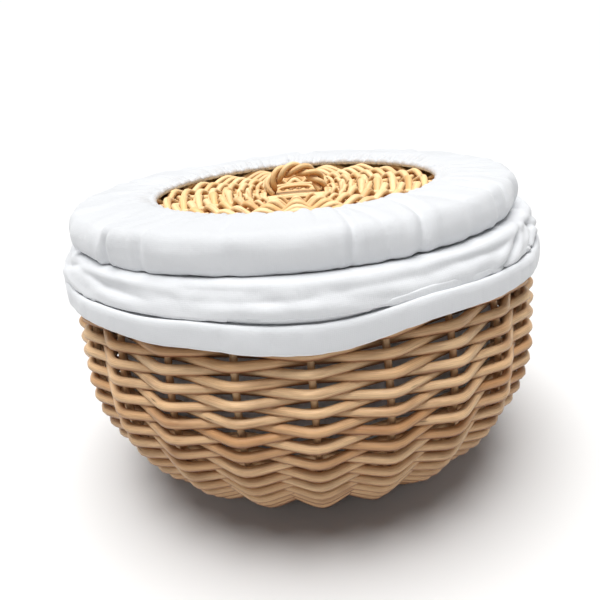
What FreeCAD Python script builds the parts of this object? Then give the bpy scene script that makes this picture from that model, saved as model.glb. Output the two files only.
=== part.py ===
"""Round willow basket with a hanging cloth liner and a loose lid in a cloth cover.

Millimetres, +Z up, origin on the floor under the centre of the foot.
The basket is woven on upright stakes, the lid on flat sticks. A weaving rod is one solid
that passes outside one stake and inside the next, so neighbouring rows are opposite, and
two opposite rows are a pair called a chase. The liner hangs over the rim, and the lid
lies on the liner's folded cuff.
"""

import FreeCAD, Part
import math
import os

V = FreeCAD.Vector

# Stakes and the curve of the wall, measured on the stakes' centre line
stake_count = 24
stake_radius = 2.8
belly_radius = 200.5        # widest radius
turn_radius = 120.0         # curve from the base up to the belly
upper_radius = 260.0        # curve from the belly in to the rim
rim_level = 215.0           # top of the stakes
wall_foot_gap = 8.6         # from the start of the turn to the edge of the first row
wall_top_gap = 8.0          # from the edge of the last row to the top of the stakes

# Weaving rods of the wall
wall_rows = 38
wall_rod_across = 3.7       # half the rod's size through the wall
rod_play = 0.35             # clearance between a rod and what it bends around
row_play = 0.35             # clearance between neighbouring rows
rod_end_gap = 1.2           # gap between the two ends of one round

# Base
base_stick_radius = 3.6
base_stick_setback = 22.5   # from a stick's end to the start of the turn
base_rod_radius = 2.2
base_row_pitch = 4.7
base_first_row = 36.0
foot_strand_radius = 2.1
foot_turns = 10
foot_wear = 0.5             # depth of the flats worn on the foot

# Border ropes: the rim of the basket and the edge of the lid
rim_strand_radius = 3.5
rim_turns = 12
lid_strand_radius = 3.0
lid_turns = 14
strand_play = 0.15

# Liner
cloth = 1.2                 # thickness of the liner cloth
liner_gap = 1.0             # clearance between the liner and the willow
liner_panels = 8            # sewn side by side round the bag
liner_turn_bands = 3        # of a panel's curved lower part
cuff_drop = 52.2            # from the cuff's top down to the lower edge of the hem
cuff_inset = 2.4            # how far the cuff's roll lies inside the hem
hem_height = 17.5
hem_layer = 0.6             # one layer of the hem's cloth
elastic_height = 7.6
elastic_thickness = 0.8

# Lid
lid_stick_count = 20
lid_stick_radius = 3.0
lid_overhang = 5.0          # how far the cover reaches past the middle of the rim
lid_cloth = 1.3
lid_rod_across = 2.9        # half the rod's size through the lid
lid_rows = 16
lid_end_gap = 3.4           # from the edge of the last row to the ends of the sticks
lid_inner_rows = 4
lid_inner_first_row = 42.5
lid_inner_rod_radius = 2.0
lid_inner_pitch = 4.4
lid_seat_gap = 0.5          # clearance between the lid and the cuff it lies on
opening_reach = 64.5        # from the cover's outside in to its gathered edge on top
under_reach = 34.0          # and to its gathered edge under the lid
casing_radius = 2.4
casing_wall = 0.8
casing_slot_deg = 50.0
elastic_radius = 1.3

# Handle on the lid
handle_half_span = 23.0
handle_rise = 24.0          # rope's centre above the lid's middle plane
handle_strand_radius = 2.5
handle_turns = 2.05
handle_tight_pitch = 27.5   # one turn of a strand along the inside of the bend
binding_thickness = 3.2

# Worked out from the above
crossing = 2 * math.pi / stake_count
quarter_length = turn_radius * math.pi / 2
base_edge = belly_radius - turn_radius
base_stick_length = base_edge - base_stick_setback
foot_radius = base_edge + foot_strand_radius


def unit(vector):
    return V(vector) / vector.Length


def at(radius, height, angle):
    """The point at that radius, height and angle round the axis."""
    return V(radius * math.cos(angle), radius * math.sin(angle), height)


def oval(centre, across, half_across, along, half_along):
    """An elliptical edge with its two half sizes along two perpendicular directions."""
    if half_along > half_across:
        across, half_across, along, half_along = along, half_along, across * -1, half_across
    half_across = max(half_across, half_along * 1.0001)
    return Part.Ellipse(centre + across * half_across, centre + along * half_along, centre).toShape()


def ruled_tube(ovals, closed=False):
    """A solid through a row of ovals, straight from each to the next."""
    following = ovals[1:] + (ovals[:1] if closed else [])
    faces = [f for a, b in zip(ovals, following) for f in Part.makeRuledSurface(a, b).Faces]
    if not closed:
        faces += [Part.Face(Part.Wire([end])) for end in (ovals[0], ovals[-1])]
    solid = Part.makeSolid(Part.makeShell(faces))
    if solid.Volume < 0:
        solid.reverse()
    return solid


def round_tube(points, radius, closed=False):
    """A round solid along close points, its section carried from point to point unturned."""
    n = len(points)

    def neighbour(i):
        return points[i % n] if closed else points[max(0, min(n - 1, i))]

    tangents = [unit(neighbour(i + 1) - neighbour(i - 1)) for i in range(n)]
    side = unit(tangents[0].cross(V(0.13, 0.21, 0.97)))
    sides = []
    for tangent in tangents:
        side = unit(side - tangent * side.dot(tangent))
        sides.append(side)
    turn = 0.0
    if closed:
        last = unit(sides[-1] - tangents[0] * sides[-1].dot(tangents[0]))
        turn = math.atan2(last.cross(sides[0]).dot(tangents[0]), last.dot(sides[0]))
    ovals = []
    for i, (point, tangent, side) in enumerate(zip(points, tangents, sides)):
        share = turn * i / n
        across = side * math.cos(share) + tangent.cross(side) * math.sin(share)
        ovals.append(oval(point, across, radius, tangent.cross(across), radius))
    return ruled_tube(ovals, closed)


def pipe(wire, radius):
    """A round rod along a wire, with mitred corners."""
    start = wire.OrderedVertexes[0].Point
    heading = wire.OrderedEdges[0].tangentAt(wire.OrderedEdges[0].FirstParameter)
    maker = Part.BRepOffsetAPI.MakePipeShell(wire)
    maker.setTransitionMode(1)
    maker.add(Part.Wire([Part.makeCircle(radius, start, heading)]))
    maker.build()
    maker.makeSolid()
    return maker.shape()


def turned(profile):
    """A solid of revolution about the basket's axis, from edges that close in the XZ plane."""
    return Part.Face(Part.Wire(Part.sortEdges(profile)[0])).revolve(V(0, 0, 0), V(0, 0, 1), 360)


def panels(profile):
    """The same solid of revolution, as the liner's panels side by side."""
    face = Part.Face(Part.Wire(Part.sortEdges(profile)[0]))
    pieces = []
    for i in range(liner_panels):
        piece = face.revolve(V(0, 0, 0), V(0, 0, 1), 360 / liner_panels)
        piece.rotate(V(0, 0, 0), V(0, 0, 1), 360 * i / liner_panels)
        pieces.append(piece)
    return pieces


def ring(inner, outer, low, high):
    """A flat ring, or a disc where inner is 0."""
    disc = Part.makeCylinder(outer, high - low, V(0, 0, low))
    return disc.cut(Part.makeCylinder(inner, high - low, V(0, 0, low))) if inner else disc


def cloth_ring(points, thickness):
    """A sheet of that thickness turned about the axis. Points are (radius, height) on its
    left side as the list runs, and the sheet is built to their right."""
    points = [V(r, 0, z) for r, z in points]
    last = len(points) - 1
    inner = []
    for i, point in enumerate(points):
        run = unit(points[min(last, i + 1)] - points[max(0, i - 1)])
        inner.append(point + V(run.z, 0, -run.x) * thickness)
    curves = []
    for row in (points, inner):
        curve = Part.BSplineCurve()
        curve.interpolate(row)
        curves.append(curve.toShape())
    ends = [Part.makeLine(points[i], inner[i]) for i in (0, last)]
    return turned([*curves, *ends])


def rope(centre_at, side_at, up_at, strand_radius, lay_radius, turns, steps, strand, closed):
    """One strand of a rope of three. The three functions give the rope's own line."""
    points = []
    for i in range(steps if closed else steps + 1):
        share = i / steps
        turn = 2 * math.pi * (turns * share + strand / 3)
        side, up = side_at(share), up_at(share)
        points.append(centre_at(share) + (side * math.cos(turn) + up * math.sin(turn)) * lay_radius)
    return round_tube(points, strand_radius, closed)


def lay_radius(strand_radius, pitch):
    """How far a strand's centre lies from the middle of a rope of three that just touch."""
    lay = strand_radius * 2 / math.sqrt(3)
    for _ in range(6):
        lay = strand_radius * 2 / math.sqrt(3) / math.cos(math.atan(2 * math.pi * lay / pitch))
    return lay + strand_play


def rope_ring(radius, level, strand_radius, turns):
    """Three strands laid round a circle, and the rope's outer radius."""
    lay = lay_radius(strand_radius, 2 * math.pi * radius / turns)
    strands = [
        rope(
            lambda share: at(radius, level, 2 * math.pi * share),
            lambda share: at(1, 0, 2 * math.pi * share),
            lambda share: V(0, 0, 1),
            strand_radius, lay, turns, turns * 10, k, True,
        )
        for k in range(3)
    ]
    return strands, lay + strand_radius


def weave_offset(reach, spacing, bend):
    """How far a rod's corners lie from the surface that it weaves through: on the outside
    and on the inside of what it bends around. Reach is the room between the two centres."""
    outer = inner = reach
    for _ in range(12):
        slope = math.atan((outer + inner) / spacing)
        outer = reach / math.cos(min(slope + bend, 1.2))
        inner = reach / math.cos(slope - bend)
    return outer, inner


def woven_round(centre, out, along, half_out, half_along, outer, inner, count, row, gap):
    """One round of a rod: corners beyond and behind the supports in turn, ends behind one.
    Centre is (radius, height). Out and along are (radial, vertical) unit directions."""
    ovals = []
    first = 5 * row + 1
    for i in range(count + 1):
        angle = 2 * math.pi * (first + i) / count
        angle += gap / centre[0] / 2 * ((i == 0) - (i == count))
        side = outer if (first + i + row) % 2 == 0 else -inner
        point = at(centre[0] + out[0] * side, centre[1] + out[1] * side, angle)
        ovals.append(oval(point, at(out[0], out[1], angle), half_out, at(along[0], along[1], angle), half_along))
    return ruled_tube(ovals)


foot_lay = lay_radius(foot_strand_radius, 2 * math.pi * foot_radius / foot_turns)
foot_rope_radius = foot_lay + foot_strand_radius
base_level = 2 * foot_rope_radius - foot_wear + rod_play + stake_radius
belly_level = base_level + turn_radius
rim_angle = math.asin((rim_level - belly_level) / upper_radius)
rim_radius = belly_radius - upper_radius * (1 - math.cos(rim_angle))
wall_length = quarter_length + upper_radius * rim_angle
wall_pitch = (wall_length - wall_foot_gap - wall_top_gap) / wall_rows
wall_rod_along = (wall_pitch - row_play) / 2


def wall_frame(length):
    """The wall at that distance from the start of the turn: its centre (radius, height),
    its outward direction and its upward direction, each as (radial, vertical)."""
    if length < quarter_length:
        a = length / turn_radius
        centre = (base_edge + turn_radius * math.sin(a), belly_level - turn_radius * math.cos(a))
        return centre, (math.sin(a), -math.cos(a)), (math.cos(a), math.sin(a))
    a = (length - quarter_length) / upper_radius
    centre = (belly_radius - upper_radius * (1 - math.cos(a)), belly_level + upper_radius * math.sin(a))
    return centre, (math.cos(a), math.sin(a)), (-math.sin(a), math.cos(a))


def wall_round(row):
    centre, out, along = wall_frame(wall_foot_gap + wall_pitch * (row + 0.5))
    reach = stake_radius + wall_rod_across + rod_play
    outer, inner = weave_offset(reach, centre[0] * crossing, crossing / 2)
    return woven_round(
        centre, out, along, wall_rod_across, wall_rod_along, outer, inner, stake_count, row, rod_end_gap
    )


def stake(index):
    """A stake: straight under the last rounds of the base, then up along the wall."""
    foot = base_stick_length + rod_play
    up = [V(foot, 0, base_level), V(base_edge, 0, base_level)]
    middle = wall_frame(quarter_length / 2)[0]
    belly = V(belly_radius, 0, belly_level)
    shoulder = wall_frame(quarter_length + upper_radius * rim_angle / 2)[0]
    rim = V(rim_radius, 0, rim_level)
    wire = Part.Wire([
        Part.makeLine(*up),
        Part.Arc(up[1], V(middle[0], 0, middle[1]), belly).toShape(),
        Part.Arc(belly, V(shoulder[0], 0, shoulder[1]), rim).toShape(),
    ])
    rod = pipe(wire, stake_radius)
    rod.rotate(V(0, 0, 0), V(0, 0, 1), 360.0 * index / stake_count)
    return rod


def first_stick_deg(count):
    """The angle of the first stick where a bundle of that many crosses another."""
    return -45 * (count - 1) / count


def slath(count, radius, length, level, turn_deg):
    """Sticks crossed at the middle: half are split, and the other half pass through them.
    Each bundle lies side by side at the crossing and fans out to even angles."""
    width = 2 * radius + rod_play
    middle = (count - 1) / 2
    half = middle * width + radius + rod_play
    slit = radius * 0.95
    split, pierced = [], []
    for k in range(count):
        offset, angle = (k - middle) * width, math.radians(90 / count * (k - middle))
        points = [V(length * math.cos(angle), length * math.sin(angle), level)]
        if abs(offset) > 1e-6:
            points.append(V(offset / math.tan(angle), offset, level))
            points.append(V(-offset / math.tan(angle), offset, level))
        points.append(V(-length * math.cos(angle), length * math.sin(angle), level))
        stick = pipe(Part.makePolygon(points), radius)
        slot = Part.makeBox(2 * half, 4 * half, slit, V(-half, -2 * half, level - slit / 2))
        split.append(stick.cut(slot))
        thin = stick.copy()
        for low in (level + slit / 2 - rod_play, level - slit / 2 + rod_play - 2 * radius):
            reach = half + rod_play
            thin = thin.cut(Part.makeBox(2 * reach, 4 * half, 2 * radius, V(-reach, -2 * half, low)))
        thin.rotate(V(0, 0, 0), V(0, 0, 1), 90)
        pierced.append(thin)
    for stick in split + pierced:
        stick.rotate(V(0, 0, 0), V(0, 0, 1), turn_deg)
    return split, pierced


def flat_rounds(level, first, pitch, rows, across, along, support_radius, count, start_row=0):
    """Rounds of a flat weave about sticks that lie at one level."""
    rounds = []
    for k in range(rows):
        radius = first + pitch * k
        offset, _ = weave_offset(support_radius + across + rod_play, 2 * math.pi * radius / count, 0)
        rounds.append(woven_round(
            (radius, level), (0, 1), (1, 0), across, along, offset, offset, count, start_row + k, rod_end_gap
        ))
    return rounds


def base_nodes():
    half_stick = 180 / stake_count
    bundle = stake_count // 8
    split, pierced = slath(bundle, base_stick_radius, base_stick_length, base_level, half_stick)
    along = (base_row_pitch - row_play) / 2
    inner_rows = int((base_stick_length - base_first_row - along) // base_row_pitch) + 1
    inner = flat_rounds(
        base_level, base_first_row, base_row_pitch, inner_rows, base_rod_radius, along,
        base_stick_radius, stake_count // 2,
    )
    for rod in inner:
        rod.rotate(V(0, 0, 0), V(0, 0, 1), half_stick + first_stick_deg(bundle))
    outer_first = base_stick_length + along + 1.3
    room = foot_radius - foot_rope_radius - base_rod_radius - rod_play - outer_first
    outer_rows = int(room // base_row_pitch) + 1
    outer = flat_rounds(
        base_level, outer_first, base_row_pitch, outer_rows, base_rod_radius, along,
        stake_radius, stake_count, inner_rows,
    )
    low = base_level - base_stick_radius - rod_play
    high = base_level + base_stick_radius + rod_play
    edge = (base_first_row - along) * math.cos(crossing) - row_play
    binding = [
        ring(0, edge, high, high + binding_thickness),
        ring(0, edge, low - binding_thickness, low),
    ]
    strands, _ = rope_ring(foot_radius, foot_rope_radius - foot_wear, foot_strand_radius, foot_turns)
    below = Part.makeBox(4 * foot_radius, 4 * foot_radius, 10, V(-2 * foot_radius, -2 * foot_radius, -10))
    return {
        "base_split_sticks": split,
        "base_pierced_sticks": pierced,
        "base_centre_binding": binding,
        "base_weave": inner + outer,
        "foot_wale": [strand.cut(below) for strand in strands],
    }


rim_lay = lay_radius(rim_strand_radius, 2 * math.pi * rim_radius / rim_turns)
rim_rope_radius = rim_lay + rim_strand_radius
rim_rope_level = rim_level + stake_radius * math.sin(rim_angle) + rim_rope_radius + rod_play
liner_arch = rim_rope_radius + liner_gap + cloth       # outside of the cloth over the rim
liner_top = rim_rope_level + liner_arch
cuff_top = liner_top + 0.3 + 1.5 * cloth


def wall_nodes():
    nodes = {"stakes": [stake(i) for i in range(stake_count)]}
    for pair in range(wall_rows // 2):
        nodes[f"siding_chase_{pair + 1:02d}"] = [wall_round(2 * pair), wall_round(2 * pair + 1)]
    nodes["rim_border"], _ = rope_ring(rim_radius, rim_rope_level, rim_strand_radius, rim_turns)
    return nodes


def liner_nodes():
    """The bag hangs straight from the rim, then follows the inside of the wall to the base.
    It is sewn from panels that run from the base to the rim."""
    wall_depth = stake_radius + 2 * wall_rod_across + 4 * rod_play
    outer = turn_radius - wall_depth - liner_gap
    inner = outer - cloth
    side = rim_radius - liner_arch
    turn_end = math.asin((side - base_edge) / inner)

    def turn_point(a, r):
        return V(base_edge + r * math.sin(a), 0, belly_level - r * math.cos(a))

    turn = []
    for band in range(liner_turn_bands):
        a, b = turn_end * band / liner_turn_bands, turn_end * (band + 1) / liner_turn_bands
        turn += panels([
            *(Part.Arc(*(turn_point(t, r) for t in (a, (a + b) / 2, b))).toShape() for r in (inner, outer)),
            *(Part.makeLine(turn_point(t, inner), turn_point(t, outer)) for t in (a, b)),
        ])
    low = [turn_point(turn_end, r) for r in (inner, outer)]
    high = [V(r, 0, rim_rope_level) for r in (side, side + cloth)]
    wall = panels([*(Part.makeLine(*pair) for pair in zip(low, high)), Part.makeLine(*low), Part.makeLine(*high)])
    far = [V(2 * rim_radius - point.x, 0, rim_rope_level) for point in high]
    tops = [V(rim_radius, 0, rim_rope_level + rim_radius - point.x) for point in high]
    brim = panels([
        *(Part.Arc(*points).toShape() for points in zip(high, tops, far)),
        Part.makeLine(*high), Part.makeLine(*far),
    ])
    bottom_level = belly_level - outer
    hem_level = cuff_top - cuff_drop
    hem_wall = wall_frame(quarter_length + upper_radius * math.asin((hem_level - belly_level) / upper_radius))[0][0]
    reach, _ = weave_offset(stake_radius + wall_rod_across + rod_play, hem_wall * crossing, crossing / 2)
    hem_inner = hem_wall + reach + wall_rod_across + liner_gap
    pocket = elastic_thickness + 0.2
    hem_outer = hem_inner + 2 * hem_layer + pocket
    stand = hem_inner - cuff_inset
    cuff_low = hem_level + hem_height + cloth
    height = cuff_top - cuff_low
    cuff = [
        (rim_radius - 0.8 * liner_arch, cuff_top - 0.4), (rim_radius - 0.15 * liner_arch, cuff_top),
        (rim_radius + 0.5 * liner_arch, cuff_top - 0.5), (rim_radius + 1.05 * liner_arch, cuff_top - 2.4),
        (stand - 2.2, cuff_top - 6), (stand, cuff_top - 0.42 * height),
        (stand + 0.5, cuff_top - 0.76 * height), (hem_outer - 0.4, cuff_low),
    ]
    hem = ring(hem_inner, hem_outer, hem_level, hem_level + hem_height)
    slot = (hem_inner + hem_layer, hem_inner + hem_layer + pocket)
    low = hem_level + 2 * hem_layer
    hem = hem.cut(ring(slot[0], slot[1], low, hem_level + hem_height))
    return {
        "liner_bottom": [ring(0, base_edge - 0.3, bottom_level, bottom_level + cloth)],
        "liner_turn": turn,
        "liner_wall": wall,
        "liner_brim": brim,
        "liner_cuff": [cloth_ring(cuff, 1.3 * cloth)],
        "liner_hem": [hem],
        "liner_hem_elastic": [ring(slot[0] + 0.1, slot[1] - 0.1, low + 0.1, low + elastic_height)],
    }


def casing(radius, level, slot_at_deg):
    """A folded hem round an elastic: a tube with a slot along the side named."""
    half = math.radians(casing_slot_deg / 2)
    start = math.radians(slot_at_deg) + half
    end = math.radians(slot_at_deg) - half + 2 * math.pi

    def spot(size, angle):
        return V(radius + size * math.cos(angle), 0, level + size * math.sin(angle))

    sizes = (casing_radius, casing_radius - casing_wall)
    arcs = [Part.Arc(*(spot(s, a) for a in (start, (start + end) / 2, end))).toShape() for s in sizes]
    return turned([*arcs, *(Part.makeLine(spot(sizes[0], a), spot(sizes[1], a)) for a in (start, end))])


def lid_nodes():
    lid_radius = rim_radius + lid_overhang
    border_lay = lay_radius(lid_strand_radius, 2 * math.pi * (lid_radius - 10) / lid_turns)
    border_outer = border_lay + lid_strand_radius
    border_radius = lid_radius - lid_cloth - 3.0 - border_outer
    stick_length = border_radius - border_outer - rod_play
    inner_edge = lid_inner_first_row + (lid_inner_rows - 0.5) * lid_inner_pitch
    pitch = (stick_length - lid_end_gap - inner_edge) / lid_rows
    first = inner_edge + pitch / 2
    offset, _ = weave_offset(
        lid_stick_radius + lid_rod_across + rod_play, 2 * math.pi * first / lid_stick_count, 0
    )
    half_thick = offset + lid_rod_across
    under = cuff_top + lid_seat_gap
    level = under + lid_cloth + row_play + half_thick
    top = level + half_thick + row_play + lid_cloth
    bundle = lid_stick_count // 4
    split, pierced = slath(bundle, lid_stick_radius, stick_length, level, 0)
    nodes = {"lid_split_sticks": split, "lid_pierced_sticks": pierced}

    inner_along = (lid_inner_pitch - row_play) / 2
    inner = flat_rounds(
        level, lid_inner_first_row, lid_inner_pitch, lid_inner_rows, lid_inner_rod_radius, inner_along,
        lid_stick_radius, lid_stick_count,
    )
    outer = flat_rounds(
        level, first, pitch, lid_rows, lid_rod_across, (pitch - row_play) / 2,
        lid_stick_radius, lid_stick_count,
    )
    for rod in inner + outer:
        rod.rotate(V(0, 0, 0), V(0, 0, 1), first_stick_deg(bundle))
    for name, rods in (("lid_inner_chase", inner), ("lid_chase", outer)):
        for pair in range(len(rods) // 2):
            nodes[f"{name}_{pair + 1:02d}"] = rods[2 * pair:2 * pair + 2]
    nodes["lid_border"], _ = rope_ring(border_radius, level, lid_strand_radius, lid_turns)

    lay = lay_radius(handle_strand_radius, handle_tight_pitch)
    leg_low = level + lid_stick_radius + rod_play
    leg_high = level + handle_rise - handle_half_span * 0.8
    arch = handle_rise + level - leg_high
    bend = math.pi * math.sqrt((handle_half_span ** 2 + arch ** 2) / 2)
    leg = (leg_high - leg_low) / (2 * (leg_high - leg_low) + bend)

    def handle_line(share):
        """The rope's centre: up one leg, over a half ellipse and down the other leg."""
        if share < leg:
            return V(-handle_half_span, 0, leg_low + (leg_high - leg_low) * share / leg)
        if share > 1 - leg:
            return V(handle_half_span, 0, leg_low + (leg_high - leg_low) * (1 - share) / leg)
        a = math.pi * (1 - (share - leg) / (1 - 2 * leg))
        return V(handle_half_span * math.cos(a), 0, leg_high + arch * math.sin(a))

    def handle_side(share):
        step = 0.004
        run = unit(handle_line(min(1, share + step)) - handle_line(max(0, share - step)))
        return V(-run.z, 0, run.x)

    for k in range(3):
        strand = rope(
            handle_line, handle_side, lambda share: V(0, 1, 0),
            handle_strand_radius, lay, handle_turns, 60, k, False,
        )
        floor = Part.makeBox(200, 200, 20, V(-100, -100, leg_low - 20))
        nodes[f"handle_strand_{k + 1}"] = [strand.cut(floor)]

    edge = (lid_inner_first_row - inner_along) * math.cos(math.pi / lid_stick_count) - row_play
    pad = ring(0, edge, leg_low, leg_low + binding_thickness)
    for side in (-1, 1):
        hole = lay + handle_strand_radius + 2 * rod_play
        pad = pad.cut(Part.makeCylinder(hole, binding_thickness, V(side * handle_half_span, 0, leg_low)))
    low = level - lid_stick_radius - rod_play
    nodes["lid_centre_binding"] = [pad, ring(0, edge, low - binding_thickness, low)]

    out = lid_radius
    opening_radius = lid_radius - opening_reach
    under_radius = lid_radius - under_reach
    cover = [
        (under_radius + casing_radius + 0.2, under), (out - 19, under), (out - 10, under + 0.6),
        (out - 3, under + 4.8), (out, level), (out - 3, top - 4.8), (out - 10, top - 0.8),
        ((opening_radius + out - 10) / 2, top + 1.2), (opening_radius + casing_radius + 0.2, top + 1.0),
    ]
    nodes["lid_cover"] = [cloth_ring(cover[::-1], lid_cloth)]
    top_casing = top - lid_cloth - 0.1 + casing_radius
    under_casing = under + lid_cloth + 0.1 - casing_radius
    nodes["lid_cover_opening_hem"] = [casing(opening_radius, top_casing, -60)]
    nodes["lid_cover_opening_elastic"] = [Part.makeTorus(opening_radius, elastic_radius, V(0, 0, top_casing))]
    nodes["lid_cover_under_hem"] = [casing(under_radius, under_casing, 60)]
    nodes["lid_cover_under_elastic"] = [Part.makeTorus(under_radius, elastic_radius, V(0, 0, under_casing))]
    return nodes


def main():
    os.makedirs("parts", exist_ok=True)
    nodes = {**base_nodes(), **wall_nodes(), **liner_nodes(), **lid_nodes()}
    for name, solids in nodes.items():
        shape = solids[0] if len(solids) == 1 else Part.makeCompound(solids)
        bad = [i for i, s in enumerate(solids) if not s.isValid() or s.Volume <= 0 or len(s.Solids) != 1]
        if bad:
            print(name, "has unsound solids", bad)
        shape.exportStep(f"parts/{name}.step")
    print(len(nodes), "nodes,", sum(len(s) for s in nodes.values()), "solids")


main()
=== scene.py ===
"""Looks of a round willow basket with a cotton liner and a willow lid in a cotton cover.

Metres, +Z up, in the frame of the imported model. Every rod and every cloth starts as a flat
grid that is rolled or bent to its place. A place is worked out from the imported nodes' boxes.
"""

import math
import random

import bpy
import numpy as np
from mathutils import Euler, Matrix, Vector, noise


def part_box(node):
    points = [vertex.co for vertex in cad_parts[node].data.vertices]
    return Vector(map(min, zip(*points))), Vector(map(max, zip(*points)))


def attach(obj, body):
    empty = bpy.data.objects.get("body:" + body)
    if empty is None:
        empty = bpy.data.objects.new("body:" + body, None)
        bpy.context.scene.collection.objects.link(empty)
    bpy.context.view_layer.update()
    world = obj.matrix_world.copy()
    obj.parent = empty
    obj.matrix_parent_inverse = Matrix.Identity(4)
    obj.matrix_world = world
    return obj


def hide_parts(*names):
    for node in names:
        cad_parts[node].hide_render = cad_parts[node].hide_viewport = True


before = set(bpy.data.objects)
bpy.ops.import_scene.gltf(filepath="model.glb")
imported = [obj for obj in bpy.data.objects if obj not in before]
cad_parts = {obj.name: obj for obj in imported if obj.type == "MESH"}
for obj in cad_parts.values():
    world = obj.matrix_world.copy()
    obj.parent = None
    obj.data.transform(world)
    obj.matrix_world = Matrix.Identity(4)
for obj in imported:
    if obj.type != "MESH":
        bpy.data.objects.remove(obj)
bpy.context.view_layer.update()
draw = random.Random(7)
TURN = 2 * math.pi
UP = np.array((0.0, 0.0, 1.0))

# The wall of the basket
STAKE_COUNT = 24
STAKE_RADIUS = 0.0028
TURN_RADIUS = 0.120         # curve from the base up to the belly
STAKE_TIP = 0.0009          # from the last centre point of a stake to its highest edge
UPPER_RADIUS = 0.260        # curve from the belly in to the rim
WALL_FOOT_GAP = 0.0086      # from the start of the turn to the edge of the first row
WALL_TOP_GAP = 0.0080       # from the edge of the last row to the top of the stakes
ROD_ACROSS = 0.0037         # half size through the wall
ROD_THICK = 0.0039          # half size along the wall where a rod passes a stake
ROD_SQUEEZED = 0.0037       # and where it crosses its neighbours
ROD_PLAY = 0.00035

# The base
BASE_STICK_RADIUS = 0.0036
BASE_ROD_RADIUS = 0.0022
BASE_ROW_PITCH = 0.0047
BASE_FIRST_ROW = 0.036
FOOT_TURNS = 10
RIM_TURNS = 12

# The lid
LID_STICK_COUNT = 20
LID_ROD_ACROSS = 0.0029
LID_ROD_THICK = 0.0038
LID_ROD_SQUEEZED = 0.0032
LID_END_GAP = 0.0034        # from the edge of the last row to the ends of the sticks
LID_INNER_ROD = 0.0019
LID_INNER_FIRST_ROW = 0.0425
LID_INNER_PITCH = 0.0044
LID_TURNS = 14
HANDLE_TURNS = 2.05
HANDLE_STRAND_RADIUS = 0.0025

# Cloth
CLOTH = 0.0010
LID_COVER_LEAN = 0.0035     # how far the cover hangs towards -X

# Light
SKY = 0.11                  # strength of the world's light
BACKDROP = 1.05             # and of the white sweep behind the basket

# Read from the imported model
stakes_low, stakes_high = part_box("stakes")
rim_low, rim_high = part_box("rim_border")
foot_low, foot_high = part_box("foot_wale")
border_low, border_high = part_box("lid_border")
stick_low, stick_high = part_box("lid_split_sticks")
cover_low, cover_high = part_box("lid_cover")
opening_low, opening_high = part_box("lid_cover_opening_hem")
under_low, under_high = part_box("lid_cover_under_hem")
hem_low, hem_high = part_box("liner_hem")
bottom_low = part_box("liner_bottom")[0]
brim_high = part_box("liner_brim")[1]
handle_boxes = [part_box(f"handle_strand_{k}") for k in (1, 2, 3)]

base_level = stakes_low.z + STAKE_RADIUS
belly_radius = stakes_high.x - STAKE_RADIUS
base_edge = belly_radius - TURN_RADIUS
belly_level = base_level + TURN_RADIUS
rim_rope = (rim_high.z - rim_low.z) / 2
rim_level = (rim_high.z + rim_low.z) / 2
rim_radius = rim_high.x - rim_rope
stake_top = stakes_high.z - STAKE_TIP
wall_rows = 2 * sum(name.startswith("siding_chase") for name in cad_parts)
wall_length = TURN_RADIUS * math.pi / 2 + UPPER_RADIUS * math.asin((stake_top - belly_level) / UPPER_RADIUS)
wall_pitch = (wall_length - WALL_FOOT_GAP - WALL_TOP_GAP) / wall_rows
lid_level = (stick_low.z + stick_high.z) / 2
lid_stick_radius = (stick_high.z - stick_low.z) / 2
lid_rows = 2 * sum(name.startswith("lid_chase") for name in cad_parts)
lid_inner_rows = 2 * sum(name.startswith("lid_inner_chase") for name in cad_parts)


# Shaping

def select_only(piece):
    bpy.ops.object.select_all(action="DESELECT")
    piece.select_set(True)
    bpy.context.view_layer.objects.active = piece


def flat_grid(name, columns, rows):
    """A flat grid with a UV map, and the share of its length and width of each vertex."""
    bpy.ops.object.select_all(action="DESELECT")
    bpy.ops.mesh.primitive_grid_add(x_subdivisions=columns, y_subdivisions=rows, size=1)
    piece = bpy.context.object
    piece.name = name
    piece.data.name = name
    flat = np.zeros(len(piece.data.vertices) * 3)
    piece.data.vertices.foreach_get("co", flat)
    flat = flat.reshape(-1, 3)
    return piece, flat[:, 0] + 0.5, flat[:, 1] + 0.5


def set_places(piece, places):
    piece.data.vertices.foreach_set("co", np.asarray(places, float).ravel())
    piece.data.update()


def scale_uv(piece, length, width):
    """Makes one unit of the UV map one metre of the piece."""
    layer = piece.data.uv_layers.active.data
    uv = np.zeros(len(layer) * 2)
    layer.foreach_get("uv", uv)
    layer.foreach_set("uv", (uv.reshape(-1, 2) * (length, width)).ravel())


def set_tone(piece, value):
    """One number for the whole rod, which its material reads to vary the colour."""
    tone = piece.data.attributes.new("tone", "FLOAT", "POINT")
    tone.data.foreach_set("value", np.full(len(piece.data.vertices), value))


def close_up(piece, ends):
    """Joins the edges that meet, caps the ends if asked, and turns the faces outwards."""
    select_only(piece)
    bpy.ops.object.mode_set(mode="EDIT")
    bpy.ops.mesh.select_all(action="SELECT")
    bpy.ops.mesh.remove_doubles(threshold=1e-6)
    if ends:
        bpy.ops.mesh.select_mode(type="VERT")
        bpy.ops.mesh.select_all(action="DESELECT")
        bpy.ops.mesh.select_non_manifold()
        bpy.ops.mesh.fill_holes(sides=0)
    bpy.ops.mesh.select_all(action="SELECT")
    bpy.ops.mesh.normals_make_consistent(inside=False)
    bpy.ops.object.mode_set(mode="OBJECT")
    bpy.ops.object.shade_smooth()


def unit(vectors):
    return vectors / np.maximum(np.linalg.norm(vectors, axis=-1, keepdims=True), 1e-12)


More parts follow.
